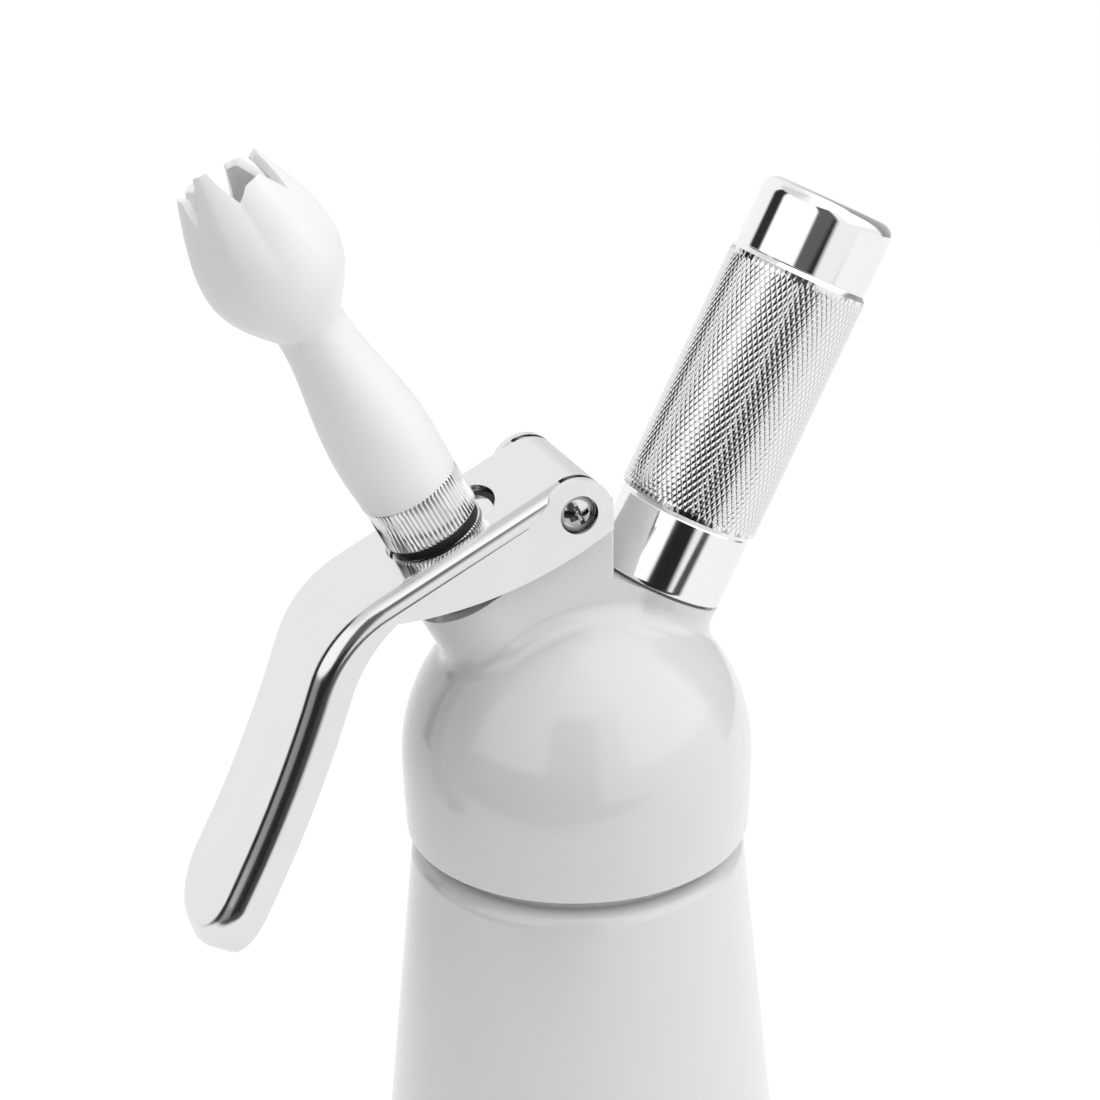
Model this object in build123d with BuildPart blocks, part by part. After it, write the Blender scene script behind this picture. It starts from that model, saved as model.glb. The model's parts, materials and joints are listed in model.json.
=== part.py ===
from build123d import *
import os
from math import cos, pi, radians, sin, tan

# Whipped cream dispenser: an aluminium bottle with a screwed-on cast head.  The head carries a
# dispensing valve under a formed lever on one branch and a gas charger holder on the other.
#
# Frame: origin at the centre of the bottle's foot, +Z up, +X towards the charger holder,
# -X towards the lever's handle.  All sizes are millimetres, all angles degrees.

# ---------------------------------------------------------------- fits and clearances
seat_clearance = 0.1        # between faces that press on each other across a joint
stem_fit = 0.08             # radial play of a shank or stem in its bore
thread_play = 0.05          # radial play where a plain cylinder stands for a small thread
thread_clearance = 0.35     # the same for the two large threads
pivot_fit = 0.1             # lever's hole round the pivot screw

# ---------------------------------------------------------------- bottle
bottle_radius = 40.0
bottle_wall = 1.8
foot_radius = 32.0          # outer edge of the hollow under the base
base_hollow = 3.0           # how far the base stands up inside the foot ring
base_corner = 6.5
hollow_slope = 20.0         # lean of the hollow's side
cone_start = 80.0           # height where the straight side begins to taper
cone_blend = 130.0          # radius that rounds side into taper
shoulder_radius = 31.1      # taper's radius where it meets the ledge
shoulder_edge = 3.0
neck_radius = 27.0
neck_wall = 2.4
neck_root = 0.8
mouth_lip = 0.9
rim_height = 168.0          # lower edge of the head above the foot
rim_gap = 3.2               # open groove between the head's rim and the bottle's ledge
neck_reach = 15.0           # neck's height inside the head, above the rim

# ---------------------------------------------------------------- head
rim_radius = 32.0
rim_edge = 0.7
dome_radius = 32.5
dome_rise = 14.4            # dome's centre above the rim
dome_wall = 5.5
cavity_radius = 23.0
branch_blend = 4.0          # casting blend where branches and lug meet the dome
gasket_thickness = 2.2
gasket_width = 3.6
gasket_edge = 0.5

# ---------------------------------------------------------------- charger branch
charger_tilt = 27.2         # lean of the charger holder from upright, towards +X
charger_boss_radius = 12.6
charger_boss_top = 34.6     # face of the boss, along the branch from the dome's centre
stud_radius = 10.4
stud_height = 11.6
stud_chamfer = 0.5
shank_radius = 5.5
shank_proud = 0.5           # shank's end below the cavity's ceiling
nipple_radius = 2.5
nipple_length = 5.6
gas_hole = 1.0
cross_hole = 0.8
sleeve_wall = 0.8
sleeve_margin = 0.3         # nipple left bare at either end of the sleeve
inlet_gasket_thickness = 0.6
charger_length = 65.2       # 8 g cream charger
charger_radius = 8.85
charger_neck_radius = 4.4
charger_neck_length = 6.2
charger_neck_play = 0.35
charger_shoulder = 8.0
charger_neck_blend = 2.2
charger_shoulder_round = 4.4
charger_wall = 1.1
charger_lip = 0.45
charger_depth = 4.0         # how far the charger's neck drops into the stud
closure_thickness = 0.5
charger_seal_thickness = 1.4
pin_radius = 0.8
pin_bore = 0.35
pin_base_radius = 3.0
pin_base_height = 2.0
pin_reach = 3.2             # needle's length past the charger seal's lower face
holder_gap = 0.45           # between the boss's face and the holder's rim
holder_band_radius = 12.6
holder_grip_radius = 13.5
holder_bore_radius = 9.25
holder_lower_band = 13.6
holder_grip_length = 48.4
holder_grip_chamfer = 1.2
holder_thread_relief = 1.2
holder_end_wall = 2.6
holder_end_round = 2.8
holder_rim_chamfer = 0.5

# ---------------------------------------------------------------- dispensing branch
nozzle_tilt = 27.5          # lean of the valve from upright, towards -X
nozzle_drop = 2.5           # valve axis crosses the bottle's axis this far under the dome's centre
nozzle_boss_radius = 10.6
nozzle_boss_top = 44.0      # along the valve axis, from where it crosses the bottle's axis
valve_seat = 30.0
valve_seat_radius = 8.6
stem_radius = 4.3
stem_thread_radius = 4.0
stem_thread_start = 45.0
stem_bore_radius = 1.9
stem_reach = 7.8            # thread's length inside the tip's collar
port_radius = 1.15
port_lift = 1.6             # ports above the valve seat
port_count = 4
poppet_radius = 6.6
poppet_thickness = 2.0
poppet_seal_radius = 7.2
poppet_seal_thickness = 1.9
stem_seal_section = 0.7     # radius of the O-ring's section
stem_seal_squeeze = 0.02    # O-ring's gap to bore and groove
stem_seal_level = 36.1
spring_pocket_radius = 8.3
spring_pocket_floor = 37.5
spring_radius = 6.5
spring_wire = 0.6
spring_turns = 5.0
nut_hub_radius = 8.5
nut_hub_height = 1.2        # hub above the flange, standing in the lever's hole
nut_flange_radius = 10.9
nut_flange_thickness = 1.5
nut_flat = 8.8              # half-width across the flange's two flats
nut_skirt_inner = 7.6
nut_skirt_outer = 8.8
nut_skirt_height = 5.0
tip_seal_radius = 8.2
tip_seal_thickness = 1.7
collar_radius = 8.9
collar_height = 8.8
collar_edge = 0.4
collar_spigot_radius = 6.4
collar_spigot_height = 8.0
collar_passage = 2.6
tip_base_radius = 9.0
tip_swell_radius = 9.25
tip_swell_reach = 6.9       # widest part of the tube above the tip's base
tip_taper_radius = 7.3
tip_taper_reach = 23.8
tip_waist_radius = 6.1
tip_waist_reach = 34.6
tip_passage_radius = 4.3
tip_throat_radius = 5.6
tip_throat_reach = 12.0
tip_wall = 1.6
tulip_radius = 10.9
tulip_belly_reach = 41.8
tulip_mouth_radius = 7.0
tulip_foot_slope = 1.3      # rise for each millimetre out, where the tulip opens from the waist
tulip_mouth_slope = 0.41    # closing in for each millimetre up, at the mouth
tip_reach = 65.4
petal_count = 6
petal_notch_depth = 6.6
petal_top_width = 3.2

# ---------------------------------------------------------------- lever
lever_width = 27.2
lever_sheet = 1.6
lever_edge_round = 3.2      # outside radius of the folds
lever_web_tilt = 26.0
lever_web_length = 37.3
lever_bend = 24.0           # radius of the handle's bend, on the upper face
lever_handle_tilt = 19.2    # handle's lean from upright below the bend
lever_handle_flare = 250.0  # radius of the handle's slow outward curve
lever_handle_length = 52.6
lever_tip_round = 11.5
lever_side_depth = 7.0      # depth of the folded sides along the handle
lever_throat_depth = 4.8    # depth of the sides where handle and cheeks meet
lever_throat_run = 36.3     # place of that corner along the web
cheek_x = -17.0             # lowest part of the cheeks' lower edge, and its rise above the rim
cheek_rise = 54.2
ear_radius = 6.4
ear_drop = 3.6              # straight rear edge of the ears below the pivot
ear_blend_run = 9.0         # along the web, where the ears have sunk into the folded sides
lip_end_angle = 28.0        # rolled rear lip stops this far above the horizontal
lip_relief = 1.3
pivot_x = -4.5
pivot_rise = 66.0           # pivot above the head's rim
lever_hole_radius = 9.5
lever_hole_stretch = 2.4
lever_rest_gap = 0.3        # web above the nut's flange with the lever released
lug_clearance = 1.4
lug_rear_x = 3.3
lug_top_radius = 3.3
lug_step = 0.7
lug_edge = 0.6
lug_toe = 1.0               # lug's foot beyond the valve's boss
screw_head_radius = 3.4
screw_head_height = 3.0
screw_head_dome = 0.4
screw_shank_radius = 2.0
screw_length = 8.0

# ---------------------------------------------------------------- worked out from the above
ledge_height = rim_height - rim_gap
mouth_height = rim_height + neck_reach
gasket_base = mouth_height + seat_clearance
ceiling_height = gasket_base + gasket_thickness + seat_clearance
dome_height = rim_height + dome_rise
ceiling_radius = dome_radius - dome_wall
nozzle_root = dome_height - nozzle_drop
pivot_height = rim_height + pivot_rise
lever_half_width = lever_width / 2
lug_half_width = lever_half_width - lever_sheet - lug_clearance


# ================================================================ drawing helpers
def branch(height, tilt):
    """The section plane of a branch: x across it, y outwards along its axis."""
    lean = radians(tilt)
    return Plane(origin=(0, 0, height), x_dir=(cos(lean), 0, -sin(lean)), z_dir=(0, -1, 0))


upright = branch(0, 0)
charger_branch = branch(dome_height, charger_tilt)
nozzle_branch = branch(nozzle_root, -nozzle_tilt)


def axis_of(section):
    """The axis that a section's outlines are turned about."""
    return Axis(section.origin, section.y_dir)


def spot(section, distance, across=0.0):
    """A point at a distance along a branch and another across it."""
    return section.origin + section.y_dir * distance + section.x_dir * across


def end_on(section, distance):
    """The plane across a branch at a distance along its axis."""
    return Plane(origin=spot(section, distance), x_dir=section.x_dir, z_dir=section.y_dir)


def in_profile(point):
    """A point's place (x, height) in a sketch on the upright section."""
    return (point.X, point.Z)


def leaning(angle):
    """Unit vector at an angle from upright, leaning towards -X, and the one to its left."""
    lean = radians(angle)
    return Vector(-sin(lean), 0, cos(lean)), Vector(-cos(lean), 0, -sin(lean))


def turn(section, *outline, mode=Mode.ADD):
    """Turn a closed outline of (radius, distance) points about the section's axis."""
    with BuildSketch(section) as profile:
        with BuildLine():
            Polyline(*outline, close=True)
        make_face()
    revolve(profile.sketch, axis=axis_of(section), mode=mode)


def turn_ring(section, inner, outer, start, end, mode=Mode.ADD):
    """Turn a ring of rectangular section between two distances along the axis."""
    turn(section, (inner, start), (outer, start), (outer, end), (inner, end), mode=mode)


# ================================================================ bottle
def bottle_form(inset, floor, top):
    """Sketch of half the bottle's section, moved inwards by inset."""
    bore = neck_radius - (neck_wall if inset else 0)
    with BuildSketch(upright) as form:
        with BuildLine():
            side = FilletPolyline(
                (0, floor),
                (bottle_radius - inset, floor),
                (bottle_radius - inset, cone_start),
                (shoulder_radius - inset, ledge_height - inset),
                (bore, ledge_height - inset),
                (bore, top),
                radius=[base_corner - inset, cone_blend - inset, shoulder_edge, neck_root],
            )
            Polyline(side @ 1, (0, top), side @ 0)
        make_face()
    return form.sketch


with BuildPart() as bottle:
    revolve(bottle_form(0, 0, mouth_height), axis=Axis.Z)
    fillet(bottle.edges().group_by(Axis.Z)[-1], radius=mouth_lip)
    with BuildSketch(Plane.XY):
        Circle(foot_radius)
    extrude(amount=base_hollow, mode=Mode.SUBTRACT, taper=hollow_slope)
    inside = bottle_form(bottle_wall, base_hollow + bottle_wall, mouth_height)
    revolve(inside, axis=Axis.Z, mode=Mode.SUBTRACT)
bottle.part.label = "bottle"

with BuildPart() as head_gasket:
    gasket_bore = neck_radius - gasket_width
    turn_ring(upright, gasket_bore, neck_radius, gasket_base, gasket_base + gasket_thickness)
    fillet(head_gasket.edges(), radius=gasket_edge)
head_gasket.part.label = "head_gasket"

# ================================================================ head
inlet_face = spot(charger_branch, charger_boss_top)
lug_foot_height = inlet_face.Z + (inlet_face.X - lug_rear_x) * tan(radians(charger_tilt))
lug_step_height = pivot_height + lug_step

with BuildPart() as head:
    # Dome and skirt.
    with BuildSketch(upright):
        with BuildLine():
            crown = CenterArc((0, dome_height), dome_radius, 0, 90)
            skirt = TangentArc(crown @ 0, (rim_radius, rim_height), tangent=(0, -1))
            Polyline(skirt @ 1, (0, rim_height), crown @ 1)
        make_face()
    revolve(axis=Axis.Z)

    # The two branches and the lever's lug stand on the dome.
    turn_ring(charger_branch, 0, charger_boss_radius, 0, charger_boss_top)
    turn_ring(nozzle_branch, 0, nozzle_boss_radius, 0, nozzle_boss_top)
    with BuildSketch(upright):
        with BuildLine():
            Polyline(
                in_profile(spot(nozzle_branch, nozzle_boss_top / 2)),
                in_profile(spot(charger_branch, charger_boss_top / 2)),
                in_profile(inlet_face),
                (lug_rear_x, lug_foot_height),
                (lug_rear_x, lug_step_height),
                (pivot_x, lug_step_height),
                (pivot_x - lug_top_radius, pivot_height - lug_top_radius / 2),
                in_profile(spot(nozzle_branch, nozzle_boss_top, nozzle_boss_radius + lug_toe)),
                in_profile(spot(nozzle_branch, nozzle_boss_top)),
                close=True,
            )
        make_face()
        with Locations((pivot_x, pivot_height)):
            Circle(lug_top_radius)
    extrude(amount=lug_half_width, both=True)

    # Casting blends: round the foot of every branch, and where the lug runs into the inlet boss.
    dome_face = head.faces().filter_by(GeomType.SPHERE).sort_by(SortBy.AREA)[-1]
    feet = dome_face.edges().filter_by(lambda edge: abs((edge @ 0.25).Y) > 0.1)
    feet = feet.filter_by(lambda edge: edge.center().Z > dome_height + 1)
    creases = head.edges().filter_by(axis_of(charger_branch))
    creases = creases.filter_by(lambda edge: abs(edge.center().Y) > lug_half_width / 2)
    fillet(feet + creases, radius=branch_blend)
    rear_edges = head.edges().filter_by(Axis.Z).filter_by_position(
        Axis.X, lug_rear_x - lug_edge, lug_rear_x + lug_edge)
    fillet(rear_edges, radius=lug_edge)
    fillet(head.edges().group_by(Axis.Z)[0], radius=rim_edge)

    # Thread recess and cream cavity.
    turn_ring(upright, 0, neck_radius + thread_clearance, rim_height, ceiling_height, mode=Mode.SUBTRACT)
    with BuildSketch(upright):
        with Locations((0, dome_height)):
            Circle(ceiling_radius)
        with Locations((0, ceiling_height)):
            Rectangle(cavity_radius, dome_radius, align=(Align.MIN, Align.MIN), mode=Mode.INTERSECT)
    revolve(axis=Axis.Z, mode=Mode.SUBTRACT)

    # Valve seat, stem bore, spring pocket, gas inlet and the pivot screws' holes.
    stem_bore = stem_radius + stem_fit
    turn_ring(nozzle_branch, 0, valve_seat_radius, valve_seat / 2, valve_seat, mode=Mode.SUBTRACT)
    turn_ring(nozzle_branch, 0, stem_bore, valve_seat, nozzle_boss_top, mode=Mode.SUBTRACT)
    turn_ring(nozzle_branch, 0, spring_pocket_radius, spring_pocket_floor, nozzle_boss_top,
              mode=Mode.SUBTRACT)
    shank_bore = shank_radius + stem_fit
    turn_ring(charger_branch, 0, shank_bore, charger_boss_top / 2, charger_boss_top, mode=Mode.SUBTRACT)
    with BuildSketch(upright):
        with Locations((pivot_x, pivot_height)):
            Circle(screw_shank_radius + thread_play)
    extrude(amount=lug_half_width, both=True, mode=Mode.SUBTRACT)
head.part.label = "head"

# ================================================================ gas inlet
inlet_base = charger_boss_top + inlet_gasket_thickness
stud_top = inlet_base + stud_height
charger_tip = stud_top - charger_depth
seal_top = charger_tip - seat_clearance
seal_base = seal_top - charger_seal_thickness
pin_base = seal_base - pin_base_height
shank_end = ceiling_radius - shank_proud
nipple_end = shank_end - nipple_length
port_level = nipple_end + nipple_length / 2
charger_end = charger_tip + charger_length

with BuildPart() as inlet_gasket:
    turn_ring(charger_branch, shank_bore, stud_radius, charger_boss_top, inlet_base)
inlet_gasket.part.label = "inlet_gasket"

with BuildPart() as inlet_valve:
    turn(
        charger_branch,
        (0, nipple_end),
        (nipple_radius, nipple_end),
        (nipple_radius, shank_end),
        (shank_radius, shank_end),
        (shank_radius, inlet_base),
        (stud_radius, inlet_base),
        (stud_radius, stud_top - stud_chamfer),
        (stud_radius - stud_chamfer, stud_top),
        (0, stud_top),
    )
    recess = charger_neck_radius + charger_neck_play
    turn_ring(charger_branch, 0, recess, seal_base, stud_top, mode=Mode.SUBTRACT)
    turn_ring(charger_branch, 0, pin_base_radius + thread_play, pin_base, seal_base, mode=Mode.SUBTRACT)
    turn_ring(charger_branch, 0, gas_hole, port_level, pin_base, mode=Mode.SUBTRACT)
    with BuildSketch(Plane(origin=spot(charger_branch, port_level), z_dir=(0, 1, 0))):
        Circle(cross_hole)
    extrude(amount=nipple_radius, both=True, mode=Mode.SUBTRACT)
inlet_valve.part.label = "inlet_valve"

with BuildPart() as check_sleeve:
    sleeve_bore = nipple_radius + thread_play
    sleeve_start = nipple_end + sleeve_margin
    turn_ring(charger_branch, sleeve_bore, sleeve_bore + sleeve_wall, sleeve_start, shank_end - sleeve_margin)
check_sleeve.part.label = "check_sleeve"

with BuildPart() as piercing_pin:
    needle_tip = seal_base + pin_reach
    turn(
        charger_branch,
        (pin_bore, pin_base),
        (pin_base_radius, pin_base),
        (pin_base_radius, seal_base),
        (pin_radius, seal_base),
        (pin_radius, needle_tip - pin_radius),
        (pin_bore, needle_tip),
    )
piercing_pin.part.label = "piercing_pin"

with BuildPart() as charger_seal:
    turn_ring(charger_branch, pin_radius * 2, charger_neck_radius, seal_base, seal_top)
charger_seal.part.label = "charger_seal"


# ================================================================ gas charger and its holder
def charger_form(inset):
    """Sketch of half the charger's section, moved inwards by inset and open at the mouth."""
    side = charger_radius - inset
    neck = charger_neck_radius - inset
    shoulder = charger_tip + charger_neck_length
    with BuildSketch(charger_branch) as form:
        with BuildLine():
            outline = FilletPolyline(
                (0, charger_tip),
                (neck, charger_tip),
                (neck, shoulder),
                (side, shoulder + charger_shoulder),
                (side, charger_end - charger_radius),
                radius=[charger_lip, charger_neck_blend + inset, charger_shoulder_round - inset],
            )
            CenterArc((0, charger_end - charger_radius), side, 0, 90)
            Line((0, charger_end - inset), outline @ 0)
        make_face()
    return form.sketch


with BuildPart() as charger:
    revolve(charger_form(0), axis=axis_of(charger_branch))
    revolve(charger_form(charger_wall), axis=axis_of(charger_branch), mode=Mode.SUBTRACT)
charger.part.label = "charger"

with BuildPart() as charger_closure:
    closure_radius = charger_neck_radius - charger_wall - charger_lip - thread_play
    closure_top = charger_tip + closure_thickness
    turn_ring(charger_branch, pin_radius + stem_fit, closure_radius, charger_tip, closure_top)
charger_closure.part.label = "charger_closure"

holder_base = charger_boss_top + holder_gap
grip_start = holder_base + holder_lower_band
grip_end = grip_start + holder_grip_length
holder_inner_end = charger_end + seat_clearance
holder_end = holder_inner_end + holder_end_wall
holder_thread_radius = stud_radius + thread_clearance
holder_thread_end = stud_top + holder_thread_relief
holder_neck_end = holder_thread_end + holder_thread_radius - holder_bore_radius

with BuildPart() as charger_holder:
    turn(
        charger_branch,
        (0, holder_base),
        (holder_band_radius - holder_rim_chamfer, holder_base),
        (holder_band_radius, holder_base + holder_rim_chamfer),
        (holder_band_radius, grip_start),
        (holder_grip_radius, grip_start + holder_grip_chamfer),
        (holder_grip_radius, grip_end - holder_grip_chamfer),
        (holder_band_radius, grip_end),
        (holder_band_radius, holder_end),
        (0, holder_end),
    )
    fillet(charger_holder.edges().group_by(axis_of(charger_branch))[-1], radius=holder_end_round)
    turn(
        charger_branch,
        (0, holder_base),
        (holder_thread_radius, holder_base),
        (holder_thread_radius, holder_thread_end),
        (holder_bore_radius, holder_neck_end),
        (holder_bore_radius, holder_inner_end),
        (0, holder_inner_end),
        mode=Mode.SUBTRACT,
    )
charger_holder.part.label = "charger_holder"

# ================================================================ lever
# The lever is drawn as the real one is pressed: a deep pan with folded edges, trimmed along its
# lower edge, with two ears, a rolled lip between them and a hole for the valve.
pivot = Vector(pivot_x, 0, pivot_height)
web_normal, web_run = leaning(lever_web_tilt)
handle_normal = leaning(90 - lever_handle_tilt)[0]
bend_centre = pivot + web_normal * (ear_radius - lever_bend) + web_run * lever_web_length
flare_centre = bend_centre + handle_normal * (lever_bend + lever_handle_flare)
pan_depth = lever_bend


def handle_face(length, inset):
    """Point on the handle's upper face at a length from the bend, moved inwards by inset."""
    outwards = leaning(90 - lever_handle_tilt - length / lever_handle_flare * 180 / pi)[0]
    return flare_centre - outwards * (lever_handle_flare + inset), outwards


def lever_pan(inset, start):
    """The lever before trimming, moved inwards by inset, from a start along the web."""
    web_face = pivot + web_normal * (ear_radius - inset)
    web_end = web_face + web_run * lever_web_length
    tip_end, outwards = handle_face(lever_handle_length - inset, inset)
    with BuildPart() as pan:
        with BuildSketch(upright):
            with BuildLine():
                web = Line(in_profile(web_face + web_run * start), in_profile(web_end))
                bend_end = bend_centre + handle_normal * (lever_bend - inset)
                bend = TangentArc(in_profile(web_end), in_profile(bend_end), tangent=web % 1)
                flare = TangentArc(bend @ 1, in_profile(tip_end), tangent=bend % 1)
                Polyline(
                    flare @ 1,
                    in_profile(tip_end - outwards * pan_depth),
                    in_profile(web_face + web_run * start - web_normal * pan_depth),
                    web @ 0,
                )
            make_face()
        extrude(amount=lever_half_width - inset, both=True)
        corners = pan.edges().filter_by(Axis(tip_end, outwards)).filter_by(
            lambda edge: (edge.center() - tip_end).length < lever_width)
        fillet(corners, radius=lever_tip_round - inset)
        crest = pan.faces().filter_by(lambda face: face.normal_at().dot(Vector(-1, 0, 1)) > 0.5)
        fillet(crest.edges().filter_by(Axis.Y, reverse=True), radius=lever_edge_round - inset)
    return pan.part


with BuildPart() as lever:
    add(lever_pan(0, 0))

    # Ears, sunk into the folded sides ahead of the pivot.
    for side in (lever_half_width - lever_sheet, -lever_half_width):
        with BuildSketch(upright.offset(side)):
            with Locations((pivot_x, pivot_height)):
                Circle(ear_radius)
            with BuildLine():
                sunk = pivot + web_run * ear_blend_run
                Polyline(
                    in_profile(pivot + web_normal * ear_radius),
                    in_profile(sunk + web_normal * (ear_radius - lever_edge_round)),
                    in_profile(sunk - web_normal * (ear_radius * 2)),
                    (pivot_x + ear_radius, pivot_height - ear_radius * 2),
                    (pivot_x + ear_radius, pivot_height),
                    close=True,
                )
            make_face()
        extrude(amount=lever_sheet)
    add(lever_pan(lever_sheet, -ear_radius), mode=Mode.SUBTRACT)

    # Rolled rear lip between the ears, with a relief slot at either side.
    with BuildSketch(upright):
        with BuildLine():
            sweep_angle = 90 + lever_web_tilt - lip_end_angle
            outer = CenterArc((pivot_x, pivot_height), ear_radius, lip_end_angle, sweep_angle)
            inner = CenterArc((pivot_x, pivot_height), ear_radius - lever_sheet, lip_end_angle, sweep_angle)
            Line(outer @ 0, inner @ 0)
            Line(outer @ 1, inner @ 1)
        make_face()
    extrude(amount=lever_half_width - lever_sheet - lip_relief, both=True)

    # Trim along the lower edge: handle, bend, then the cheeks that reach down round the valve.
    with BuildSketch(upright):
        with BuildLine():
            beyond_tip = handle_face(lever_handle_length * 1.5, lever_side_depth)[0]
            handle_start = handle_face(0, lever_side_depth)[0]
            throat = pivot + web_run * lever_throat_run + web_normal * (ear_radius - lever_throat_depth)
            handle_trim = RadiusArc(in_profile(beyond_tip), in_profile(handle_start),
                                    -(lever_handle_flare + lever_side_depth))
            bend_trim = TangentArc(in_profile(handle_start), in_profile(throat), tangent=handle_trim % 1)
            cheek_trim = ThreePointArc(
                in_profile(throat),
                (cheek_x, rim_height + cheek_rise),
                (pivot_x + ear_radius, pivot_height - ear_drop),
            )
            Polyline(
                cheek_trim @ 1,
                (pivot_x + lever_width, pivot_height - ear_drop),
                (pivot_x + lever_width, rim_height - lever_handle_length),
                handle_trim @ 0,
            )
        make_face()
    extrude(amount=lever_width, both=True, mode=Mode.SUBTRACT)

    # Holes for the pivot screws and the valve.
    with BuildSketch(upright):
        with Locations((pivot_x, pivot_height)):
            Circle(screw_head_radius + pivot_fit)
    extrude(amount=lever_width, both=True, mode=Mode.SUBTRACT)
    with BuildSketch(end_on(nozzle_branch, nozzle_boss_top)):
        with Locations((lever_hole_stretch / 2, 0)):
            SlotCenterToCenter(lever_hole_stretch, lever_hole_radius * 2)
    extrude(amount=nozzle_boss_top, mode=Mode.SUBTRACT)
lever.part.label = "lever"

with BuildPart() as pivot_screws:
    for side in (1, -1):
        screw = Plane(origin=pivot, x_dir=(1, 0, 0), z_dir=(0, 0, side))
        head_top = lug_half_width + screw_head_height
        with BuildSketch(screw) as screw_form:
            with BuildLine():
                shaft = Polyline(
                    (0, head_top + screw_head_dome),
                    (0, lug_half_width - screw_length),
                    (screw_shank_radius, lug_half_width - screw_length),
                    (screw_shank_radius, lug_half_width),
                    (screw_head_radius, lug_half_width),
                    (screw_head_radius, head_top),
                )
                TangentArc(shaft @ 0, shaft @ 1, tangent=(1, 0))
            make_face()
        revolve(screw_form.sketch, axis=axis_of(screw))
pivot_screws.part.label = "pivot_screws"

# ================================================================ dispensing valve
nozzle_dir = nozzle_branch.y_dir
web_top = (web_normal.dot(pivot - nozzle_branch.origin) + ear_radius) / web_normal.dot(nozzle_dir)
flange_top = web_top - lever_sheet - lever_rest_gap
flange_base = flange_top - nut_flange_thickness
hub_top = flange_top + nut_hub_height
tip_seal_base = hub_top + seat_clearance
tip_seal_top = tip_seal_base + tip_seal_thickness
collar_base = tip_seal_top + seat_clearance
collar_top = collar_base + collar_height
stem_top = collar_base + stem_reach
spigot_top = collar_top + collar_spigot_height
poppet_seal_top = valve_seat - seat_clearance
poppet_top = poppet_seal_top - poppet_seal_thickness
port_height = valve_seat + port_lift
stem_seal_centre = stem_bore - stem_seal_squeeze - stem_seal_section
groove_radius = stem_seal_centre - stem_seal_section - stem_seal_squeeze
groove_half = stem_seal_section + stem_seal_squeeze
thread_bore = stem_thread_radius + thread_play

with BuildPart() as valve_stem:
    turn(
        nozzle_branch,
        (0, poppet_top - poppet_thickness),
        (poppet_radius, poppet_top - poppet_thickness),
        (poppet_radius, poppet_top),
        (stem_radius, poppet_top),
        (stem_radius, stem_seal_level - groove_half),
        (groove_radius, stem_seal_level - groove_half),
        (groove_radius, stem_seal_level + groove_half),
        (stem_radius, stem_seal_level + groove_half),
        (stem_radius, stem_thread_start),
        (stem_thread_radius, stem_thread_start),
        (stem_thread_radius, stem_top),
        (0, stem_top),
    )
    turn_ring(nozzle_branch, 0, stem_bore_radius, port_height - port_radius, stem_top, mode=Mode.SUBTRACT)
    with BuildSketch(end_on(nozzle_branch, port_height)):
        with PolarLocations(0, port_count):
            Rectangle(stem_radius, port_radius * 2, align=(Align.MIN, Align.CENTER))
    extrude(amount=port_radius, both=True, mode=Mode.SUBTRACT)
valve_stem.part.label = "valve_stem"

with BuildPart() as poppet_seal:
    turn_ring(nozzle_branch, stem_radius, poppet_seal_radius, poppet_top, poppet_seal_top)
poppet_seal.part.label = "poppet_seal"

with BuildPart() as stem_seal:
    with BuildSketch(nozzle_branch):
        with Locations((stem_seal_centre, stem_seal_level)):
            Circle(stem_seal_section)
    revolve(axis=axis_of(nozzle_branch))
stem_seal.part.label = "stem_seal"

with BuildPart() as stem_spring:
    coil_start = spring_pocket_floor + spring_wire
    coil_height = flange_base - spring_wire - coil_start
    with BuildLine() as coil:
        Helix(coil_height / spring_turns, coil_height, spring_radius,
              center=spot(nozzle_branch, coil_start), direction=nozzle_dir)
    with BuildSketch(Plane(origin=coil.line @ 0, z_dir=coil.line % 0)):
        Circle(spring_wire)
    sweep(path=coil.line, is_frenet=True)
stem_spring.part.label = "stem_spring"

with BuildPart() as stem_nut:
    turn(
        nozzle_branch,
        (thread_bore, flange_base),
        (nut_skirt_inner, flange_base),
        (nut_skirt_inner, flange_base - nut_skirt_height),
        (nut_skirt_outer, flange_base - nut_skirt_height),
        (nut_skirt_outer, flange_base),
        (nut_flange_radius, flange_base),
        (nut_flange_radius, flange_top),
        (nut_hub_radius, flange_top),
        (nut_hub_radius, hub_top),
        (thread_bore, hub_top),
    )
    with BuildSketch(end_on(nozzle_branch, flange_base - nut_skirt_height)):
        Rectangle(nut_flange_radius * 2, nut_flat * 2)
    extrude(amount=nut_skirt_height + nut_flange_thickness + nut_hub_height, mode=Mode.INTERSECT)
stem_nut.part.label = "stem_nut"

# ================================================================ decorator tip and its collar
with BuildPart() as tip_seal:
    turn_ring(nozzle_branch, thread_bore, tip_seal_radius, tip_seal_base, tip_seal_top)
tip_seal.part.label = "tip_seal"

with BuildPart() as tip_collar:
    turn(
        nozzle_branch,
        (0, collar_base),
        (collar_radius - collar_edge, collar_base),
        (collar_radius, collar_base + collar_edge),
        (collar_radius, collar_top),
        (collar_spigot_radius, collar_top),
        (collar_spigot_radius, spigot_top),
        (0, spigot_top),
    )
    collar_bore = stem_thread_radius + stem_fit
    turn_ring(nozzle_branch, 0, collar_bore, collar_base, stem_top + seat_clearance, mode=Mode.SUBTRACT)
    turn_ring(nozzle_branch, 0, collar_passage, stem_top, spigot_top, mode=Mode.SUBTRACT)
tip_collar.part.label = "tip_collar"


def tip_point(radius, reach):
    """Place of a point of the tip's outline in a sketch on the nozzle's section."""
    return (radius, collar_top + reach)


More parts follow.
